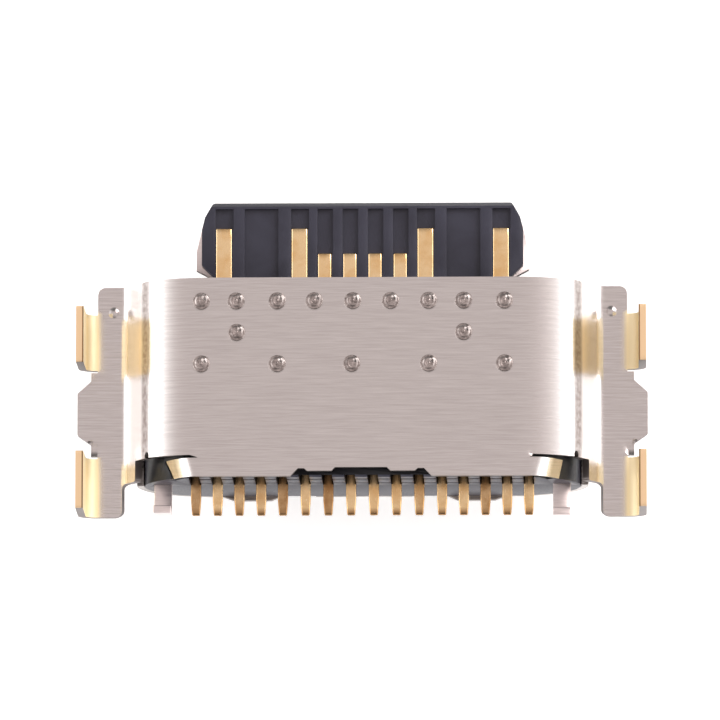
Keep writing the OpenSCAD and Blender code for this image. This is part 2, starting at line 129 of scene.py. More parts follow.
def welded_copy(node):
    """A CAD solid in millimetres, its triangles merged into whole faces."""
    work = bmesh.new()
    work.from_mesh(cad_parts[node].data)
    bmesh.ops.scale(work, vec=(1000, 1000, 1000), verts=work.verts)
    bmesh.ops.remove_doubles(work, verts=work.verts, dist=0.0005)
    bmesh.ops.dissolve_limit(work, angle_limit=math.radians(1.5), verts=work.verts, edges=work.edges)
    for face in work.faces:
        face.smooth = True
    mesh = bpy.data.meshes.new(node + "_copy")
    work.to_mesh(mesh)
    work.free()
    return mesh


# Spring stainless as it leaves the blanking tool: a bright, even satin.
latch_steel = sheet_metal("spring_stainless_blanked", "#F0E6E4", "#DCD1CF", 0.34, 3.0, 30.0)
# The feet reach further back than the solid's, the right one more than the left one.
FOOT_START, LEFT_FOOT_MORE, RIGHT_FOOT_MORE = -2.8, 0.06, 0.12
mesh = welded_copy("latch_plate")
for vertex in mesh.vertices:
    if vertex.co.y < FOOT_START:
        vertex.co.y -= LEFT_FOOT_MORE if vertex.co.x < 0 else RIGHT_FOOT_MORE
finished("latch_plate_blank", mesh, [latch_steel], ["latch_plate"], [rounded(0.015)])


# First-shot carriers: two small blocks of black glass-filled polymer, moulded round each row of contacts
# before the housing is moulded over them.

def moulded_plastic(name, face, shade, rough, grit):
    """Black engineering plastic: a blue-black skin, cloudy where it flowed, with a fine glass grit. The grit is
    per millimetre, and coarser than the real one, so that it shows."""
    made, tree, shader = new_material(name)
    at = put(tree, "ShaderNodeTexCoord").outputs["Object"]
    flow = put(tree, "ShaderNodeTexNoise", {"Vector": at, "Scale": 900.0, "Detail": 3.0, "Distortion": 0.8})
    fine = put(tree, "ShaderNodeTexNoise", {"Vector": at, "Scale": grit * 1000, "Detail": 2.0})
    part = put(tree, "ShaderNodeMapRange", {"Value": flow.outputs[0], "From Min": 0.35, "From Max": 0.65})
    tone = put(tree, "ShaderNodeMix", {0: part.outputs[0], 6: linear(shade), 7: linear(face)}, data_type="RGBA")
    skin = put(tree, "ShaderNodeMapRange", {"Value": fine.outputs[0], "From Min": 0.3, "From Max": 0.7,
                                            "To Min": rough - 0.08, "To Max": rough + 0.08})
    relief = put(tree, "ShaderNodeBump", {"Height": fine.outputs[0], "Strength": 0.2, "Distance": 3e-6})
    fill(tree, shader, {"Base Color": tone.outputs[2], "Roughness": skin.outputs[0], "Normal": relief.outputs[0],
                        "IOR": 1.52})
    return made, tree, shader, tone.outputs[2]


# The first shot is duller than the housing, because most of it is covered by the second.
carrier_plastic = moulded_plastic("liquid_crystal_polymer_first_shot", "#26272B", "#1B1C20", 0.55, 40.0)[0]
for row in ("upper", "lower"):
    finished(row + "_carrier_block", welded_copy(row + "_carrier"), [carrier_plastic],
             [row + "_carrier"], [rounded(0.01)])


# Contacts: sixteen strips stamped from copper alloy and plated with gold over nickel. Each runs from its
# flat on the tongue through the moulding, where it jogs sideways, and steps to its solder tail.

MOUTH_Y, TAIL_SLOPE = 1.45, 0.05


def contact_blank(name, blade_z, level_z):
    """The strip before it jogs: a rounded bar along y that steps from the blade's height to the tail's.
    Its places on y are counted from the mouth."""
    half_w, half_t, corner = 0.16, 0.06, 0.032
    steps = 4
    line = [(1.175, blade_z), (1.0, blade_z), (0.2, blade_z), (-1.0, blade_z)]
    line += [(-2.4 - 0.1 * k, blade_z) for k in range(9)]
    knee = min(1.0, abs(blade_z - level_z) / 0.3) * 0.09 + 0.02
    rise = [(-3.24, blade_z), (-3.5, level_z)]
    for k in range(steps + 1):
        t = k / steps
        a, b = (-3.24 + knee, blade_z), rise[0]
        c = tuple(p + (q - p) * knee / math.dist(*rise) for p, q in zip(*rise))
        line.append(tuple((1 - t) ** 2 * a[i] + 2 * t * (1 - t) * b[i] + t * t * c[i] for i in (0, 1)))
    for k in range(steps + 1):
        t = k / steps
        a = tuple(q + (p - q) * knee / math.dist(*rise) for p, q in zip(*rise))
        b, c = rise[1], (-3.5 - knee, level_z)
        line.append(tuple((1 - t) ** 2 * a[i] + 2 * t * (1 - t) * b[i] + t * t * c[i] for i in (0, 1)))
    line += [(y, level_z + (y + 3.62) * TAIL_SLOPE) for y in (-3.8, -4.1, -4.26, -4.4, -4.5, -4.56)]
    nose = [(0.0, 0.02), (0.006, 0.007), (0.02, 0.0)]
    rings = [(line[0][0] - back, line[0][1], inset, (-1, 0)) for back, inset in nose]
    for k in range(1, len(line) - 1):
        d = (line[k + 1][0] - line[k - 1][0], line[k + 1][1] - line[k - 1][1])
        size = math.hypot(*d)
        rings.append((line[k][0], line[k][1], 0.0, (d[0] / size, d[1] / size)))
    tail = line[-1]
    for ahead, inset in [(0.05, 0.0), (0.03, 0.004), (0.015, 0.013), (0.005, 0.027), (0.0, 0.045)]:
        rings.append((tail[0] + ahead, tail[1], inset, (-1, 0)))
    work = bmesh.new()
    made = []
    for y, z, inset, (dy, dz) in rings:
        ring = []
        for sx, sn, start in ((1, 1, 0), (-1, 1, 90), (-1, -1, 180), (1, -1, 270)):
            for k in range(5):
                angle = math.radians(start + 22.5 * k)
                across = sx * (half_w - corner - inset * 0.4) + corner * math.cos(angle)
                out = sn * (half_t - corner - max(0.0, inset - 0.01)) + (corner - min(inset, 0.01)) * math.sin(angle)
                ring.append(work.verts.new((across, y + out * dz, z - out * dy)))
        made.append(ring)
    for one, two in zip(made, made[1:]):
        for k in range(len(one)):
            j = (k + 1) % len(one)
            work.faces.new((one[k], one[j], two[j], two[k]))
    work.faces.new(made[0])
    work.faces.new(made[-1])
    bmesh.ops.translate(work, vec=(0, MOUTH_Y, 0), verts=work.verts)
    bmesh.ops.recalc_face_normals(work, faces=work.faces)
    for face in work.faces:
        face.smooth = len(face.verts) == 4
    mesh = bpy.data.meshes.new(name)
    work.to_mesh(mesh)
    work.free()
    return mesh


def contact_tree():
    """Bends a blank into one contact: it sets the blade's place and width, and jogs the rest to its tail."""
    tree = bpy.data.node_groups.new("contact_strip", "GeometryNodeTree")
    face = tree.interface
    face.new_socket("Blank", in_out="INPUT", socket_type="NodeSocketGeometry")
    for label, start in (("Blade place", 0.0), ("Blade width", 0.32), ("Set back", 0.0), ("Tail place", 0.0),
                         ("Tail width", 0.205), ("Tail end width", 0.16), ("Tail tone", 0.0), ("Mouth", MOUTH_Y)):
        face.new_socket(label, in_out="INPUT", socket_type="NodeSocketFloat").default_value = start
    face.new_socket("Plating", in_out="INPUT", socket_type="NodeSocketMaterial")
    face.new_socket("Contact", in_out="OUTPUT", socket_type="NodeSocketGeometry")
    given = put(tree, "NodeGroupInput").outputs
    x, y, z = put(tree, "ShaderNodeSeparateXYZ", {0: put(tree, "GeometryNodeInputPosition").outputs[0]}).outputs
    depth = put(tree, "ShaderNodeMath", {0: y, 1: given["Mouth"]}, operation="SUBTRACT").outputs[0]
    jog = put(tree, "ShaderNodeMapRange", {"Value": depth, "From Min": -2.45, "From Max": -3.15}).outputs[0]
    taper = put(tree, "ShaderNodeMapRange", {"Value": depth, "From Min": -4.26, "From Max": -4.56}).outputs[0]
    front = put(tree, "ShaderNodeMath", {0: depth, 1: 0.5}, operation="GREATER_THAN").outputs[0]
    middle = put(tree, "ShaderNodeMix", {0: jog, 2: given["Blade place"], 3: given["Tail place"]}).outputs[0]
    blade = put(tree, "ShaderNodeMix", {0: jog, 2: given["Blade width"], 3: given["Tail width"]}).outputs[0]
    width = put(tree, "ShaderNodeMix", {0: taper, 2: blade, 3: given["Tail end width"]}).outputs[0]
    extra = put(tree, "ShaderNodeMath", {0: width, 1: 0.5, 2: -0.16}, operation="MULTIPLY_ADD").outputs[0]
    side = put(tree, "ShaderNodeMath", {0: x}, operation="SIGN").outputs[0]
    spread = put(tree, "ShaderNodeMath", {0: side, 1: extra, 2: x}, operation="MULTIPLY_ADD").outputs[0]
    across = put(tree, "ShaderNodeMath", {0: spread, 1: middle}, operation="ADD").outputs[0]
    back = put(tree, "ShaderNodeMath", {0: front, 1: given["Set back"]}, operation="MULTIPLY").outputs[0]
    along = put(tree, "ShaderNodeMath", {0: y, 1: back}, operation="SUBTRACT").outputs[0]
    place = put(tree, "ShaderNodeCombineXYZ", {0: across, 1: along, 2: z})
    bent = put(tree, "GeometryNodeSetPosition", {"Geometry": given["Blank"], "Position": place.outputs[0]})
    brown = put(tree, "ShaderNodeMath", {0: jog, 1: given["Tail tone"]}, operation="MULTIPLY").outputs[0]
    bare = put(tree, "ShaderNodeMapRange", {"Value": depth, "From Min": -4.44, "From Max": -4.5}).outputs[0]
    toned = put(tree, "GeometryNodeStoreNamedAttribute",
                {"Geometry": bent.outputs[0], "Name": "brown", "Value": brown})
    ended = put(tree, "GeometryNodeStoreNamedAttribute",
                {"Geometry": toned.outputs[0], "Name": "bare", "Value": bare})
    real = put(tree, "GeometryNodeRealizeInstances", {"Geometry": ended.outputs[0]})
    plated = put(tree, "GeometryNodeSetMaterial", {"Geometry": real.outputs[0], "Material": given["Plating"]})
    put(tree, "NodeGroupOutput", {0: plated.outputs[0]})
    return tree


def from_tree(name, mesh, tree, values):
    """The plain mesh that a tree makes of mesh, its inputs set by identifier first."""
    raw = bpy.data.objects.new(name + "_raw", mesh)
    modifier = raw.modifiers.new("nodes", "NODES")
    modifier.node_group = tree
    for item in tree.interface.items_tree:
        if item.in_out == "INPUT" and item.name in values:
            modifier[item.identifier] = values[item.name]
    bpy.context.scene.collection.objects.link(raw)
    made = bpy.data.meshes.new_from_object(raw.evaluated_get(bpy.context.evaluated_depsgraph_get()))
    bpy.data.objects.remove(raw)
    return made


# Gold plating over stamped copper alloy: a warm sheen with faint lines along the strip. It is pale where the
# plating is thick, browner on the tails where "brown" says, and dull at the cut end, where "bare" says.
contact_gold, tree, shader = new_material("gold_plated_copper_alloy_stamped")
at = put(tree, "ShaderNodeTexCoord").outputs["Object"]
patch = put(tree, "ShaderNodeTexNoise", {"Vector": at, "Scale": 2200.0, "Detail": 3.0, "Roughness": 0.6})
drawn = put(tree, "ShaderNodeMapping", {"Vector": at, "Scale": (60000, 3000, 60000)})
lines = put(tree, "ShaderNodeTexNoise", {"Vector": drawn.outputs[0], "Scale": 1.0, "Detail": 3.0})
part = put(tree, "ShaderNodeMapRange", {"Value": patch.outputs[0], "From Min": 0.35, "From Max": 0.6})
bright = put(tree, "ShaderNodeMix", {0: part.outputs[0], 6: linear("#E9C087"), 7: linear("#F4D5A5")},
             data_type="RGBA")
brown = put(tree, "ShaderNodeAttribute", attribute_name="brown", attribute_type="GEOMETRY").outputs["Fac"]
faded = put(tree, "ShaderNodeMapRange", {"Value": patch.outputs[0], "From Min": 0.3, "From Max": 0.7,
                                         "To Min": 1.35, "To Max": 0.65})
dulled = put(tree, "ShaderNodeMath", {0: brown, 1: faded.outputs[0]}, operation="MULTIPLY", use_clamp=True)
aged = put(tree, "ShaderNodeMix", {0: dulled.outputs[0], 6: bright.outputs[2], 7: linear("#9A7048")},
           data_type="RGBA")
bare = put(tree, "ShaderNodeAttribute", attribute_name="bare", attribute_type="GEOMETRY").outputs["Fac"]
tone = put(tree, "ShaderNodeMix", {0: bare, 6: aged.outputs[2], 7: linear("#A9865F")}, data_type="RGBA")
worn = put(tree, "ShaderNodeMapRange", {"Value": lines.outputs[0], "From Min": 0.3, "From Max": 0.7,
                                        "To Min": 0.18, "To Max": 0.28})
relief = put(tree, "ShaderNodeBump", {"Height": lines.outputs[0], "Strength": 0.1, "Distance": 2e-6})
fill(tree, shader, {"Base Color": tone.outputs[2], "Roughness": worn.outputs[0], "Normal": relief.outputs[0],
                    "Metallic": 1.0})

strip = contact_tree()
upper_blank = contact_blank("upper_contact_blank", 1.89, 1.85)
lower_blank = contact_blank("lower_contact_blank", 1.29, 1.85)


def tail_place(k):
    """Place of tail k, counted from the middle: the eight inner ones are 0.45 mm apart, the outer ones 0.43 mm."""
    inner = min(abs(k), 4)
    return math.copysign((inner - 0.5) * 0.45 + (abs(k) - inner) * 0.43, k)


# Some tails are browner than others, where the plating is thin or the iron has heated them.
TAIL_TONES = {-8: 0.7, -7: 0.05, -6: 0.45, -5: 0.25, -4: 0.85, -3: 0.05, -2: 0.7, -1: 0.1,
              1: 0.05, 2: 0.1, 3: 0.35, 4: 0.1, 5: 0.1, 6: 0.6, 7: 0.15, 8: 0.1}
PIN_PITCH = 0.5
for blank, labels, tails in (
        (upper_blank, ("a1", "a4", "a5", "a6", "a7", "a8", "a9", "a12"), (-8, -6, -3, -1, 1, 3, 6, 8)),
        (lower_blank, ("b12", "b9", "b8", "b7", "b6", "b5", "b4", "b1"), (-7, -5, -4, -2, 2, 4, 5, 7))):
    for pin, label, tail in zip((1, 4, 5, 6, 7, 8, 9, 12), labels, tails):
        wide = pin < 5 or pin > 8
        mesh = from_tree("contact_" + label, blank, strip, {
            "Blade place": (pin - 6.5) * PIN_PITCH, "Blade width": 0.32 if wide else 0.27,
            "Set back": 0.0 if wide else 0.505, "Tail place": tail_place(tail), "Tail tone": TAIL_TONES[tail],
            "Plating": contact_gold})
        finished("contact_strip_" + label, mesh, [contact_gold], ["contact_" + label])


# Housing: the overmoulding of black polymer. It is tongue, root, flange and slotted rear face in one piece,
# shot round the contacts, the carriers and the latch plate.

# Glass-filled polymer: a smooth blue-black. The flange's top is painted darker than the tongue, as painted shade for
# the shade that falls between the walls round it, and the front edge of the tongue is painted partway darker.
housing_plastic, tree, shader, skin = moulded_plastic(
    "liquid_crystal_polymer_moulded", "#393946", "#2F2F3B", 0.4, 30.0)
# Painted shade: faces with a share are mixed towards near-black, the flange's top fully, the tongue's front edge
# partway.
painted_shade = put(tree, "ShaderNodeAttribute", attribute_name="painted_shade", attribute_type="GEOMETRY").outputs["Fac"]
tone = put(tree, "ShaderNodeMix", {0: painted_shade, 6: skin, 7: linear("#15161B")}, data_type="RGBA")
fill(tree, shader, {"Base Color": tone.outputs[2], "Specular IOR Level": 0.35})


def painted_shade_share(face):
    """How much a face is painted darker: fully on the flange's top as painted shade, partway on the tongue's front
    edge.
    """
    place, facing = face.center, face.normal
    front_edge = place.y > 2.9 and facing.y > 0.3
    flange_top = place.z > 2.0 and place.y < -1.5 and (facing.y > -0.7 or place.y > -2.3)
    return 0.6 * front_edge + flange_top


# Each slot is narrowed to its tail and leans back until it is nearly closed at the top of the flange.
SLOT_HALF, SLOT_HALF_SEEN, SLOT_FRONT, SLOT_FRONT_TOP, RIB_FRONT = 0.1525, 0.106, -2.15, -2.463, -2.37
mesh = welded_copy("housing")
# Each face's share of the painted darkening.
mesh.attributes.new("painted_shade", "FLOAT", "FACE").data.foreach_set("value", [painted_shade_share(face) for face in mesh.polygons])
for vertex in mesh.vertices:
    x, y, z = vertex.co
    tail = min((tail_place(k) for k in TAIL_TONES), key=lambda place: abs(place - x))
    if y < -2.1 and z > 1.87 and abs(abs(x - tail) - SLOT_HALF) < 0.002:
        vertex.co.x = tail + math.copysign(SLOT_HALF_SEEN, x - tail)
    if abs(y - SLOT_FRONT) < 0.002 and abs(x - tail) < SLOT_HALF + 0.0025 and z > 2.0:
        vertex.co.y = SLOT_FRONT_TOP
    if -2.455 < y < -2.415 and 2.1 < z < 2.8:
        vertex.co.y = RIB_FRONT
finished("housing_moulding", mesh, [housing_plastic], ["housing"], [rounded(0.012)])


# Shielding pads: two thin stainless channels folded over the root of the tongue, above and below.

# Thin stainless foil: rolling lines and a clean, slightly cool sheen.
pad_steel = sheet_metal("stainless_foil_folded", "#D8D5D2", "#A29E9B", 0.3, 2.0, 40.0)
for row in ("upper", "lower"):
    finished(row + "_pad_channel", welded_copy(row + "_pad"), [pad_steel], [row + "_pad"],
             [rounded(0.015)])


# Inner shell: the tube that takes the plug, rolled from stainless sheet and closed with a seam below.

# The flats of rolled and pressed sheet stay flat up to where their bends start.
flats_kept = ("WEIGHTED_NORMAL", {"mode": "FACE_AREA", "weight": 100, "keep_sharp": False})
# Rolled stainless tube: the smoothest of the sheets, with faint lines round the mouth.
tube_steel = sheet_metal("stainless_tube_rolled", "#CFCBC8", "#8E8A87", 0.26, 1.5, 25.0)
finished("inner_shell", welded_copy("tube"), [tube_steel], ["tube"], [rounded(0.03), flats_kept])


# Cover: the shallow stainless channel welded round the lower half of the tube, its rear lobes bent up.

# Pressed stainless: rolling lines, a little duller where the press has rubbed it.
cover_steel = sheet_metal("stainless_cover_pressed", "#D2CDCA", "#96918E", 0.28, 1.2, 22.0)
finished("far_side_cover", welded_copy("cover"), [cover_steel], ["cover"], [rounded(0.02), flats_kept])


# Mounting bracket: one sheet of nickel-plated stainless, blanked, brushed and folded into a hat over the
# tube, with two wings, four gold-flashed solder legs and two corner tabs. It is welded to the tube.

SHEET, CROWN_Z = 0.15, 3.18
BODY_LEN, SHOULDER_LEN, WING_LEN, SLIT = 3.95, 3.52, 4.6, 0.06


def bent(u, x, z, bends):
    """Place and slope of point u of a strip that starts level at x, z. A bend is (start, radius, angle down)."""
    slope, at = 0.0, 0.0
    for start, radius, angle in bends:
        if u <= start:
            break
        x, z = x + (start - at) * math.cos(slope), z - (start - at) * math.sin(slope)
        length = radius * abs(angle)
        turned = slope + angle * min(1.0, (u - start) / length)
        reach = math.copysign(radius, angle)
        x, z = x + reach * (math.sin(turned) - math.sin(slope)), z + reach * (math.cos(turned) - math.cos(slope))
        slope, at = turned, min(u, start + length)
    return x + (u - at) * math.cos(slope), z - (u - at) * math.sin(slope), slope


def fold(start, radius, degrees):
    """One bend of the sheet and where it ends, the radius measured on the board face."""
    angle = math.radians(degrees)
    return (start, radius, angle), start + radius * abs(angle)


shoulder, shoulder_end = fold(2.95, 2.07, 36)
knee, knee_end = fold(shoulder_end, 0.22, 24)
fillet, fillet_end = fold(knee_end + 0.799, 0.2305, -60)
HAT = (shoulder, knee, fillet)


def flat(x):
    """Place on the unfolded sheet of the point at x of the crown, wall or wing."""
    low, high = x, x + 2.0
    for _ in range(40):
        middle = (low + high) / 2
        low, high = (middle, high) if bent(middle, 0, CROWN_Z, HAT)[0] < x else (low, middle)
    return low


leg_start = flat(5.25)
leg, leg_turn = fold(leg_start, 0.22, -90)
leg_end = leg_turn + 1.05
LEGS = ((-1.67, -0.55), (-WING_LEN, -3.43))
# Corner tabs: each is bent down on a skewed line, and stands a little off the place that the other one has.
TAB_X, TAB_Y, SKEW = 3.36, -3.765, math.radians(12)
TAB_START, LEFT_TAB_OUT, RIGHT_TAB_OUT = -0.45, -0.05, 0.06
first_fold, first_end = fold(-0.13, 0.45, 45)
second_fold, second_end = fold(first_end + 0.15, 0.3, 13)
tab_end = second_end + 0.304
TAB_LINES = [-0.13, -0.06, 0.01, 0.08, first_end, second_fold[0], second_fold[0] + 0.034, second_end,
             second_end + 0.1, second_end + 0.2, tab_end]


def on_tab(s, t):
    """Point of the unfolded sheet at s across and t along the folds of a corner tab."""
    return TAB_X + s * math.cos(SKEW) + t * math.sin(SKEW), TAB_Y - s * math.sin(SKEW) + t * math.cos(SKEW)


def tab_edge(s, v):
    """Point of the unfolded tab at s across its folds that comes to depth v when the tab is folded."""
    reach = bent(s, 0, 0, (first_fold, second_fold))[0] if s > first_fold[0] else s
    return on_tab(s, (v - TAB_Y + reach * math.sin(SKEW)) / math.cos(SKEW))


def sag(u, v):
    """How far the crown dips beside the slit, because the shoulder's bend starts before the slit ends."""
    slit_end, fading = 3.3, 0.28
    drop = CROWN_Z - bent(min(u, slit_end), 0, CROWN_Z, HAT)[1]
    return drop * max(0.0, 1 + (v + SHOULDER_LEN) / fading) * max(0.0, 1 - max(0.0, u - slit_end) / fading)


def folded(u, v):
    """Place in the bracket of point u, v of the unfolded sheet, and the direction its board face looks in."""
    side, u = math.copysign(1, u), abs(u)
    s = (u - TAB_X) * math.cos(SKEW) - (v - TAB_Y) * math.sin(SKEW)
    if v < -SHOULDER_LEN - SLIT / 2 and TAB_START < s < tab_end + 0.05:
        t = (u - TAB_X) * math.sin(SKEW) + (v - TAB_Y) * math.cos(SKEW)
        reach, z, slope = bent(s, 0, CROWN_Z, (first_fold, second_fold))
        x, y = on_tab(reach, t)
        x += (RIGHT_TAB_OUT if side > 0 else LEFT_TAB_OUT) * min(1.0, (s - TAB_START) / (first_fold[0] - TAB_START))
        lean = math.sin(slope)
        return (Vector((side * x, y + MOUTH_Y, z - sag(u, v))),
                Vector((side * lean * math.cos(SKEW), -lean * math.sin(SKEW), math.cos(slope))))
    folds = list(HAT) if v > -SHOULDER_LEN - SLIT / 2 or u > 4.5 else []
    if u > leg_start and any(low - 0.01 <= v <= high + 0.01 for low, high in LEGS):
        folds.append(leg)
    x, z, slope = bent(u, 0, CROWN_Z, folds)
    z -= 0.0 if folds else sag(u, v)
    return Vector((side * x, v + MOUTH_Y, z)), Vector((side * math.sin(slope), 0, math.cos(slope)))


def eased(corners, steps=4):
    """An outline through corners (u, v, radius), each corner rounded to its radius."""
    points = []
    for k, (u, v, r) in enumerate(corners):
        p = Vector((u, v))
        if r == 0:
            points.append(p)
            continue
        a = (Vector(corners[k - 1][:2]) - p).normalized()
        b = (Vector(corners[(k + 1) % len(corners)][:2]) - p).normalized()
        half = a.angle(b) / 2
        middle = p + (a + b).normalized() * r / math.sin(half)
        start, stop = p + a * r / math.tan(half) - middle, p + b * r / math.tan(half) - middle
        points += [middle + start.slerp(stop, i / steps).normalized() * r for i in range(steps + 1)]
    return points


hole = [(flat(4.24) + 0.08 * math.cos(math.radians(a)), 0.04 - SHOULDER_LEN + 0.08 * math.sin(math.radians(a)), 0)
        for a in range(-30, 211, 24)]
half_outline = [
    (leg_start, 0, 0.15), (leg_start, -0.55, 0), (leg_end, -0.55, 0.03),
    (leg_end, -1.67, 0.03), (leg_start, -1.67, 0), (leg_start, -1.71, 0), (flat(5.38), -1.71, 0),
    (flat(5.38), -1.88, 0.05), (flat(5.65), -2.12, 0.05), (flat(5.65), -2.957, 0.05), (flat(5.38), -3.147, 0.05),
    (flat(5.38), -3.38, 0), (leg_start, -3.38, 0), (leg_start, -3.43, 0), (leg_end, -3.43, 0.03),
    (leg_end, 0.03 - WING_LEN, 0.03), (leg_turn, -WING_LEN, 0), (flat(4.76), -WING_LEN, 0.13),
    (flat(4.76), -3.93, 0.1), (4.86, -3.93, 0.05), (4.86, -SHOULDER_LEN, 0.03), *hole,
    (3.38, -SHOULDER_LEN, 0.02), (3.26, -SHOULDER_LEN - SLIT, 0),
    *[(*tab_edge(s, -SHOULDER_LEN - SLIT), 0) for s in TAB_LINES],
    *[(*tab_edge(s, -BODY_LEN), 0) for s in TAB_LINES[::-1]],
    (1.39, -BODY_LEN, 0.02), (1.24, 0.15 - BODY_LEN, 0), (1.12, 0.15 - BODY_LEN, 0), (1.06, 0.10 - BODY_LEN, 0),
    (0.58, 0.10 - BODY_LEN, 0), (0.51, 0.17 - BODY_LEN, 0)]


def span(start, stop, step):
    """Even places from start to stop, about step apart."""
    count = max(1, round((stop - start) / step))
    return [start + (stop - start) * k / count for k in range(count + 1)]


columns = sorted(set(round(s * u, 5) for s in (-1, 1) for u in (
    span(0, shoulder[0], 0.12) + span(shoulder[0], shoulder_end, 0.06) + span(shoulder_end, knee_end, 0.02)
    + span(knee_end, fillet[0], 0.12)
    + span(fillet[0], fillet_end, 0.03) + span(fillet_end, leg_start, 0.09) + span(leg_start, leg_turn, 0.02)
    + span(leg_turn, leg_end, 0.1))))
rows = [round(v, 5) for v in span(-WING_LEN, 0, 0.11)]


def crossed(p, q):
    """The points of edge p to q where the columns and rows cross it, so that the folds run straight to the rim."""
    if max(p.y, q.y) < -SHOULDER_LEN - 0.05 and 3.2 < max(abs(p.x), abs(q.x)) < 4.5:
        return [p]
    along = q - p
    if abs(along.x) > abs(along.y):
        cuts = [(c - p.x) / along.x for c in columns]
    else:
        cuts = [(r - p.y) / along.y for r in rows]
    gap = 0.03 / along.length
    return [p] + [p + along * t for t in sorted(cuts) if gap < t < 1 - gap]


loop = eased(half_outline + [(-u, v, r) for u, v, r in reversed(half_outline)])
rim = [point for k in range(len(loop)) for point in crossed(loop[k], loop[(k + 1) % len(loop)])]

WELDS = [(u, -0.465) for u in (-3.15, -2.46, -1.65, -0.92, -0.16, 0.585, 1.335, 2.025, 2.83)]
WELDS += [(u, -1.09) for u in (-2.45, 2.025)] + [(u, -1.715) for u in (-3.15, -1.65, -0.18, 1.335, 2.83)]
BUMPS = [(s * flat(4.93), -0.51) for s in (-1, 1)]

grid = np.array([(u, v) for v in rows for u in columns
                 if not (v < -SHOULDER_LEN - 0.05 and 3.2 < abs(u) < 4.5)]
                + [(s * u, v) for s in (-1, 1) for w in TAB_LINES for v0 in (-3.67, -3.765, -3.86)
                   for u, v in (tab_edge(w, v0),)])
rings = np.array([(u + r * math.cos(a), v + r * math.sin(a)) for u, v in WELDS + BUMPS
                  for r in (0.03, 0.06, 0.09, 0.115, 0.135, 0.155, 0.17, 0.19, 0.22)
                  for a in np.linspace(0, 2 * math.pi, 24, endpoint=False)] + WELDS + BUMPS)
clear = np.ones(len(grid), bool)
for u, v in WELDS + BUMPS:
    clear &= np.hypot(grid[:, 0] - u, grid[:, 1] - v) > 0.26
inner = np.vstack([grid[clear], rings])
a = np.array([tuple(p) for p in rim])
b = np.roll(a, -1, axis=0)
far = np.ones(len(inner), bool)
inside = np.zeros(len(inner), bool)
for p, q in zip(a, b):
    t = np.clip(((inner - p) @ (q - p)) / ((q - p) @ (q - p)), 0, 1)
    far &= np.hypot(*(inner - (p + t[:, None] * (q - p))).T) > 0.025
    over = (p[1] > inner[:, 1]) != (q[1] > inner[:, 1])
    inside ^= over & (inner[:, 0] < (q[0] - p[0]) * (inner[:, 1] - p[1]) / (q[1] - p[1] + 1e-12) + p[0])
points = [Vector(p) for p in a] + [Vector(p) for p in inner[far & inside]]
ends = [(k, (k + 1) % len(a)) for k in range(len(a))]
spots, _, triangles, *_ = geometry.delaunay_2d_cdt(points, ends, [], 1, 1e-6)

# The sheet takes its shape here: every point is folded into place, with its weld moats, its two rest bumps and
# the coined steps behind the legs, and its underside lies one thickness below.
MOAT_DEPTH, MOAT_R, BUMP_HEIGHT, BUMP_R, COINED = 0.01, 0.16, 0.035, 0.11, 0.04
places, under, plating = [], [], []
for spot in spots:
    place, up = folded(spot.x, spot.y)
    depth = 0.0
    for u, v in WELDS:
        r = math.hypot(spot.x - u, spot.y - v)
        if r < 0.23:
            depth -= MOAT_DEPTH * math.exp(-((r - MOAT_R) / 0.02) ** 2)
    for u, v in BUMPS:
        depth += BUMP_HEIGHT * max(0.0, 1 - (math.hypot(spot.x - u, spot.y - v) / BUMP_R) ** 2)
    if -3.38 < spot.y < -3.097 and abs(spot.x) > leg_start - 0.04:
        depth -= COINED
    places.append(place + up * depth)
    under.append(place - up * SHEET)
    is_leg = any(low - 0.02 <= spot.y <= high + 0.02 for low, high in LEGS)
    plating.append(min(1.0, max(0.0, (abs(spot.x) - leg_start + 0.1) / 0.1)) if is_leg else 0.0)
count = len(spots)
edges = {}
for triangle in triangles:
    for p, q in zip(triangle, triangle[1:] + triangle[:1]):
        edges[(p, q)] = edges.get((p, q), 0) + 1
open_edges = [(p, q) for p, q in edges if (q, p) not in edges]
walls = [(q, p, p + count, q + count) for p, q in open_edges]
mesh = bpy.data.meshes.new("bracket_sheet")
mesh.from_pydata(places + under, [], triangles + [tuple(k + count for k in reversed(t)) for t in triangles] + walls)
mesh.shade_smooth()
gold = mesh.attributes.new("gold", "FLOAT", "POINT")
gold.data.foreach_set("value", plating * 2)
at_tip = [min(abs(spots[p].x), abs(spots[q].x)) > leg_end - 0.02 for p, q in open_edges]
for name, wanted in (("tip", at_tip), ("cut", [not tip for tip in at_tip])):
    mesh.attributes.new(name, "FLOAT", "FACE").data.foreach_set(
        "value", [0.0] * (2 * len(triangles)) + [float(w) for w in wanted])
mesh.attributes.new("inner", "FLOAT", "POINT").data.foreach_set("value", [1.0] * count + [0.0] * count)
uv = mesh.uv_layers.new(name="sheet")
for corner in mesh.loops:
    uv.data[corner.index].uv = spots[corner.vertex_index % count]

# Nickel over brushed stainless: long bright lines along the sheet, drawn coarser than the real ones so that they
# show. A speckled dark band is painted on the wall as a painted reflection of the dark surface beyond the wing, and
# the rest of the wall is painted lighter as a painted sheen. The legs are flashed with satin gold, and the sheared
# edges are bare grey steel, with a dark line painted along the tips of the legs as painted shade under the burr.
bracket_nickel, tree, shader = new_material("nickel_plated_stainless_brushed")
WALL_BAND_AT = 4.44
at = put(tree, "ShaderNodeUVMap", uv_map="sheet").outputs[0]
brushed = put(tree, "ShaderNodeMapping", {"Vector": at, "Scale": (0.9, 24.0, 1.0)})
lines = put(tree, "ShaderNodeTexNoise", {"Vector": brushed.outputs[0], "Scale": 1.0, "Detail": 5.0,
                                         "Roughness": 0.65}, noise_dimensions="2D")
finer = put(tree, "ShaderNodeMapping", {"Vector": at, "Scale": (2.0, 70.0, 1.0), "Location": (3.0, 5.0, 0.0)})
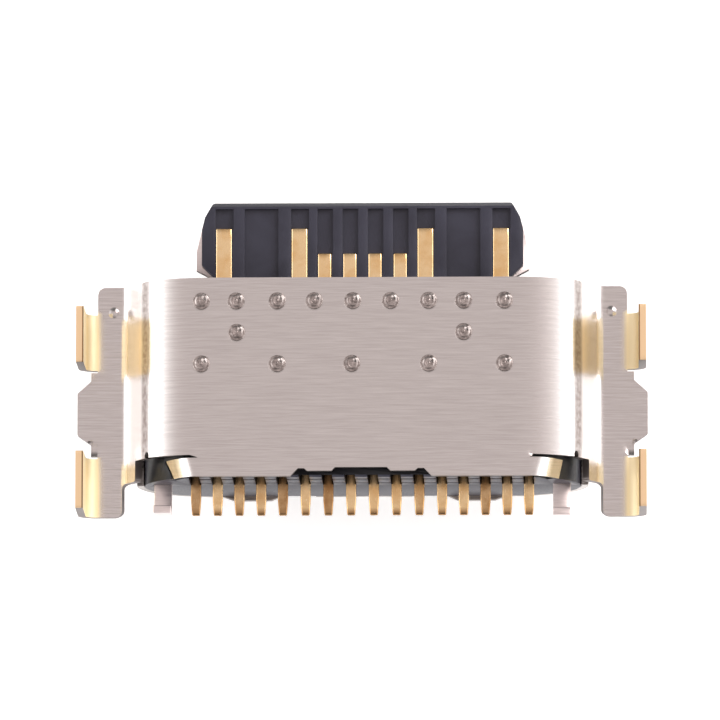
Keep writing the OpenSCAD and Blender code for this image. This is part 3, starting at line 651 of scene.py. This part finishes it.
hairs = put(tree, "ShaderNodeTexNoise", {"Vector": finer.outputs[0], "Scale": 1.0, "Detail": 2.0},
            noise_dimensions="2D")
both = put(tree, "ShaderNodeMath", {0: hairs.outputs[0], 1: 0.5, 2: lines.outputs[0]}, operation="MULTIPLY_ADD")
part = put(tree, "ShaderNodeMapRange", {"Value": both.outputs[0], "From Min": 0.5, "From Max": 1.0})
nickel = put(tree, "ShaderNodeMix", {0: part.outputs[0], 6: linear("#C5BFBD"), 7: linear("#D6D1CF")},
             data_type="RGBA")
u, v, _ = put(tree, "ShaderNodeSeparateXYZ", {0: at}).outputs
# A speckled dark band is painted on the wall, as a painted reflection of the dark surface beyond the wing.
speckle = put(tree, "ShaderNodeTexNoise", {"Vector": at, "Scale": 10.0, "Detail": 4.0}, noise_dimensions="2D")
reach = put(tree, "ShaderNodeMath", {0: u}, operation="ABSOLUTE")
off = put(tree, "ShaderNodeMath", {0: reach.outputs[0], 1: WALL_BAND_AT}, operation="SUBTRACT")
above = put(tree, "ShaderNodeMapRange", {"Value": off.outputs[0], "From Min": -0.16, "From Max": -0.05})
below = put(tree, "ShaderNodeMapRange", {"Value": off.outputs[0], "From Min": 0.17, "From Max": 0.07})
line = put(tree, "ShaderNodeMath", {0: above.outputs[0], 1: below.outputs[0]}, operation="MULTIPLY")
rough = put(tree, "ShaderNodeMapRange", {"Value": speckle.outputs[0], "From Min": 0.35, "From Max": 0.65,
                                         "To Min": 0.4})
painted_dark_reflection = put(tree, "ShaderNodeMath", {0: line.outputs[0], 1: rough.outputs[0]}, operation="MULTIPLY")
# The rest of the wall is painted lighter, as a painted sheen for the light it reflects.
drawn = put(tree, "ShaderNodeMapRange", {"Value": off.outputs[0], "From Min": 0.1, "From Max": 0.2})
level = put(tree, "ShaderNodeMapRange", {"Value": off.outputs[0], "From Min": 0.85, "From Max": 0.75})
painted_wall_sheen = put(tree, "ShaderNodeMath", {0: drawn.outputs[0], 1: level.outputs[0]}, operation="MULTIPLY")
smooth = put(tree, "ShaderNodeMix", {0: painted_wall_sheen.outputs[0], 6: nickel.outputs[2], 7: linear("#F0EAE6")},
             data_type="RGBA")
with_painted_wall_light = put(tree, "ShaderNodeMix", {0: painted_dark_reflection.outputs[0], 6: smooth.outputs[2], 7: linear("#9A8F8A")},
              data_type="RGBA")
flash = put(tree, "ShaderNodeAttribute", attribute_name="gold", attribute_type="GEOMETRY")
cut = put(tree, "ShaderNodeAttribute", attribute_name="cut", attribute_type="GEOMETRY")
tip = put(tree, "ShaderNodeAttribute", attribute_name="tip", attribute_type="GEOMETRY")
kept = put(tree, "ShaderNodeMath", {0: flash.outputs["Fac"], 1: cut.outputs["Fac"]}, operation="SUBTRACT",
           use_clamp=True)
plated = put(tree, "ShaderNodeMix", {0: kept.outputs[0], 6: with_painted_wall_light.outputs[2], 7: linear("#FFF0CA")},
             data_type="RGBA")
inner = put(tree, "ShaderNodeAttribute", attribute_name="inner", attribute_type="GEOMETRY")
# A dark line is painted along the upper edge of the leg tips, as painted shade under the burr.
painted_burr_shade = put(tree, "ShaderNodeMapRange", {"Value": inner.outputs["Fac"], "From Min": 0.78, "From Max": 0.88})
end = put(tree, "ShaderNodeMix", {0: painted_burr_shade.outputs[0], 6: linear("#EDCFA8"), 7: linear("#7D5A38")}, data_type="RGBA")
sheared = put(tree, "ShaderNodeMix", {0: tip.outputs["Fac"], 6: plated.outputs[2], 7: end.outputs[2]},
              data_type="RGBA")
tone = put(tree, "ShaderNodeMix", {0: cut.outputs["Fac"], 6: sheared.outputs[2], 7: linear("#746D6B")},
           data_type="RGBA")
worn = put(tree, "ShaderNodeMapRange", {"Value": both.outputs[0], "From Min": 0.5, "From Max": 1.0,
                                        "To Min": 0.24, "To Max": 0.16})
satin = put(tree, "ShaderNodeMix", {0: kept.outputs[0], 2: worn.outputs[0], 3: 0.55})
gloss = put(tree, "ShaderNodeMix", {0: cut.outputs["Fac"], 2: satin.outputs[0], 3: 0.42})
relief = put(tree, "ShaderNodeBump", {"Height": both.outputs[0], "Strength": 0.3, "Distance": 3e-6})
fill(tree, shader, {"Base Color": tone.outputs[2], "Roughness": gloss.outputs[0], "Normal": relief.outputs[0],
                    "Metallic": 1.0})

finished("mounting_bracket", mesh, [bracket_nickel], ["bracket"], [rounded(0.035, 3, 40)])


# Weld nuggets: sixteen resistance welds that hold the bracket on the tube. Each is a low blister of remelted
# metal, ringed and pitted, with a bead where the electrode lifted.

def nugget_tree():
    """Sets one rough blister on every spot, along the direction that the spot carries."""
    tree = bpy.data.node_groups.new("weld_nugget", "GeometryNodeTree")
    face = tree.interface
    face.new_socket("Spots", in_out="INPUT", socket_type="NodeSocketGeometry")
    for label, start in (("Radius", 0.165), ("Height", 0.035), ("Ring depth", 0.005), ("Grains per mm", 11.0),
                         ("Grain height", 0.011), ("Bead", 0.05)):
        face.new_socket(label, in_out="INPUT", socket_type="NodeSocketFloat").default_value = start
    face.new_socket("Metal", in_out="INPUT", socket_type="NodeSocketMaterial")
    face.new_socket("Nuggets", in_out="OUTPUT", socket_type="NodeSocketGeometry")
    given = put(tree, "NodeGroupInput").outputs
    ball = put(tree, "GeometryNodeMeshIcoSphere", {"Radius": 1.0, "Subdivisions": 5}).outputs[0]
    place = put(tree, "GeometryNodeInputPosition").outputs[0]
    x, y, z = put(tree, "ShaderNodeSeparateXYZ", {0: place}).outputs
    across = put(tree, "ShaderNodeCombineXYZ", {0: x, 1: y})
    r = put(tree, "ShaderNodeVectorMath", {0: across.outputs[0]}, operation="LENGTH").outputs["Value"]
    turn = put(tree, "ShaderNodeMath", {0: r, 1: 12.0}, operation="MULTIPLY").outputs[0]
    wave = put(tree, "ShaderNodeMath", {0: turn}, operation="COSINE").outputs[0]
    from_bead = put(tree, "ShaderNodeVectorMath", {0: across.outputs[0], 1: (0.5, 0.5, 0.0)}, operation="DISTANCE")
    bead = put(tree, "ShaderNodeMapRange", {"Value": from_bead.outputs["Value"], "From Min": 0.5, "From Max": 0.0},
               interpolation_type="SMOOTHSTEP").outputs[0]
    dome = put(tree, "ShaderNodeMath", {0: z, 1: given["Height"]}, operation="MULTIPLY").outputs[0]
    ringed = put(tree, "ShaderNodeMath", {0: wave, 1: given["Ring depth"], 2: dome},
                 operation="MULTIPLY_ADD").outputs[0]
    raised = put(tree, "ShaderNodeMath", {0: bead, 1: given["Bead"], 2: ringed}, operation="MULTIPLY_ADD").outputs[0]
    wide = put(tree, "ShaderNodeVectorMath", {0: across.outputs[0], "Scale": given["Radius"]}, operation="SCALE")
    lifted = put(tree, "ShaderNodeCombineXYZ", {2: raised})
    shape = put(tree, "ShaderNodeVectorMath", {0: wide.outputs[0], 1: lifted.outputs[0]}, operation="ADD")
    blister = put(tree, "GeometryNodeSetPosition", {"Geometry": ball, "Position": shape.outputs[0]})
    up = put(tree, "GeometryNodeInputNamedAttribute", {"Name": "up"}, data_type="FLOAT_VECTOR").outputs[0]
    stand = put(tree, "FunctionNodeAlignRotationToVector", {"Vector": up}, axis="Z")
    set_on = put(tree, "GeometryNodeInstanceOnPoints", {"Points": given["Spots"], "Instance": blister.outputs[0],
                                                        "Rotation": stand.outputs[0]})
    real = put(tree, "GeometryNodeRealizeInstances", {"Geometry": set_on.outputs[0]})
    grain = put(tree, "ShaderNodeTexNoise", {"Vector": place, "Scale": given["Grains per mm"], "Detail": 2.0})
    swing = put(tree, "ShaderNodeMath", {0: grain.outputs[0], 1: 0.5}, operation="SUBTRACT").outputs[0]
    rough = put(tree, "ShaderNodeMath", {0: swing, 1: given["Grain height"]}, operation="MULTIPLY").outputs[0]
    push = put(tree, "ShaderNodeCombineXYZ", {2: rough})
    pitted = put(tree, "GeometryNodeSetPosition", {"Geometry": real.outputs[0], "Offset": push.outputs[0]})
    smooth = put(tree, "GeometryNodeSetShadeSmooth", {"Geometry": pitted.outputs[0]})
    coated = put(tree, "GeometryNodeSetMaterial", {"Geometry": smooth.outputs[0], "Material": given["Metal"]})
    put(tree, "NodeGroupOutput", {0: coated.outputs[0]})
    return tree


# Remelted nickel and steel: dull and mottled, grey-brown where it was heated most.
weld_metal, tree, shader = new_material("remelted_nickel_steel_weld")
at = put(tree, "ShaderNodeTexCoord").outputs["Object"]
mottle = put(tree, "ShaderNodeTexNoise", {"Vector": at, "Scale": 13000.0, "Detail": 3.0, "Roughness": 0.65})
part = put(tree, "ShaderNodeMapRange", {"Value": mottle.outputs[0], "From Min": 0.35, "From Max": 0.65})
tone = put(tree, "ShaderNodeMix", {0: part.outputs[0], 6: linear("#7E7471"), 7: linear("#C0B5B1")}, data_type="RGBA")
worn = put(tree, "ShaderNodeMapRange", {"Value": mottle.outputs[0], "From Min": 0.3, "From Max": 0.7,
                                        "To Min": 0.42, "To Max": 0.26})
fill(tree, shader, {"Base Color": tone.outputs[2], "Roughness": worn.outputs[0], "Metallic": 1.0})

mesh = bpy.data.meshes.new("weld_spots")
spots = [folded(u, v) for u, v in WELDS]
SUNK = 0.004
mesh.from_pydata([place - up * SUNK for place, up in spots], [], [])
mesh.attributes.new("up", "FLOAT_VECTOR", "POINT").data.foreach_set("vector", [c for _, up in spots for c in up])
welds = from_tree("weld_nuggets", mesh, nugget_tree(), {"Metal": weld_metal})
finished("weld_nuggets", welds, [weld_metal], [])


# Stage: a white light table, a soft white room that is brightest near the horizon, with one soft lamp at the
# front right, and the camera nearly straight above.

# Opal acrylic: a matt white that glows evenly, with the faintest cloud in it.
floor_mesh = bpy.data.meshes.new("table")
floor_mesh.from_pydata([(-1, -1, -1e-5), (1, -1, -1e-5), (1, 1, -1e-5), (-1, 1, -1e-5)], [], [(0, 1, 2, 3)])
acrylic, tree, shader = new_material("opal_acrylic_lit_from_below")
at = put(tree, "ShaderNodeTexCoord").outputs["Object"]
haze = put(tree, "ShaderNodeTexNoise", {"Vector": at, "Scale": 300.0, "Detail": 2.0})
tone = put(tree, "ShaderNodeMix", {0: haze.outputs[0], 6: linear("#F4F4F4"), 7: linear("#F8F8F8")}, data_type="RGBA")
fill(tree, shader, {"Base Color": tone.outputs[2], "Roughness": 0.9, "Specular IOR Level": 0.1,
                    "Emission Color": (1, 1, 1, 1), "Emission Strength": 0.52})
floor_mesh.materials.append(acrylic)
table = bpy.data.objects.new("table", floor_mesh)
bpy.context.scene.collection.objects.link(table)

# The room: pale overhead and much brighter towards the horizon, dark behind the tails and dim beyond the mouth.
world = bpy.data.worlds.new("studio")
bpy.context.scene.world = world
world.use_nodes = True
tree = world.node_tree
tree.nodes.clear()
way = put(tree, "ShaderNodeTexCoord").outputs["Generated"]
height = put(tree, "ShaderNodeSeparateXYZ", {0: way}).outputs[2]
low = put(tree, "ShaderNodeMapRange", {"Value": height, "From Min": 0.9, "From Max": 0.25})
curve = put(tree, "ShaderNodeMath", {0: low.outputs[0], 1: 3.0}, operation="POWER")
rising = put(tree, "ShaderNodeMath", {0: curve.outputs[0], 1: 5.4, 2: 0.82}, operation="MULTIPLY_ADD")
glow = put(tree, "ShaderNodeMath", {0: rising.outputs[0], 1: 3.2}, operation="MINIMUM")
warm = put(tree, "ShaderNodeMapRange", {"Value": height, "From Min": 0.5, "From Max": 0.75})
hue = put(tree, "ShaderNodeMix", {0: warm.outputs[0], 6: (1, 1, 1, 1), 7: (1.0, 0.905, 0.885, 1)}, data_type="RGBA")
back = put(tree, "ShaderNodeVectorMath", {0: way, 1: (0.0, -1.0, 0.0)}, operation="DOT_PRODUCT").outputs["Value"]
shade = put(tree, "ShaderNodeMapRange", {"Value": back, "From Min": 0.35, "From Max": 0.75, "To Min": 1.0,
                                         "To Max": 0.12}, interpolation_type="SMOOTHSTEP")
dim = put(tree, "ShaderNodeMapRange", {"Value": back, "From Min": -0.35, "From Max": -0.75, "To Min": 1.0,
                                       "To Max": 0.15}, interpolation_type="SMOOTHSTEP")
both = put(tree, "ShaderNodeMath", {0: dim.outputs[0], 1: shade.outputs[0]}, operation="MULTIPLY").outputs[0]
room = put(tree, "ShaderNodeMath", {0: glow.outputs[0], 1: both}, operation="MULTIPLY").outputs[0]
lamp = put(tree, "ShaderNodeVectorMath", {0: way, 1: (0.58, 0.58, 0.57)}, operation="DOT_PRODUCT").outputs["Value"]
spot = put(tree, "ShaderNodeMapRange", {"Value": lamp, "From Min": 0.92, "From Max": 0.97, "To Min": 0.0,
                                        "To Max": 5.0}, interpolation_type="SMOOTHSTEP")
light = put(tree, "ShaderNodeMath", {0: room, 1: spot.outputs[0]}, operation="ADD").outputs[0]
sky = put(tree, "ShaderNodeBackground", {"Color": hue.outputs[2], "Strength": light})
put(tree, "ShaderNodeOutputWorld", {"Surface": sky.outputs[0]})

# The camera: a long lens 200 mm away, so that a millimetre takes 50.449 of the 720 pixels.
DISTANCE, PIXELS_PER_MM, FRAME, SENSOR = 200, 50.449, 720, 36.0
target = Vector((-0.049, -0.014, 1.9))
rise, turn, roll = math.radians(81.469), math.radians(-9.736), math.radians(-9.831)
ahead = Vector((math.sin(turn) * math.cos(rise), math.cos(turn) * math.cos(rise), -math.sin(rise)))
right = Vector((math.cos(turn), -math.sin(turn), 0))
up = right.cross(ahead)
across = right * math.cos(roll) + up * math.sin(roll)
upright = up * math.cos(roll) - right * math.sin(roll)
camera_data = bpy.data.cameras.new("camera")
camera_data.sensor_width = SENSOR
camera_data.lens = PIXELS_PER_MM * DISTANCE / FRAME * SENSOR
camera_data.clip_start = 0.01
camera_data.clip_end = 10.0
camera = bpy.data.objects.new("camera", camera_data)
bpy.context.scene.collection.objects.link(camera)
camera.matrix_world = (Matrix.Translation((target - ahead * DISTANCE) * 0.001)
                       @ Matrix((across, upright, -ahead)).transposed().to_4x4())
bpy.context.scene.camera = camera
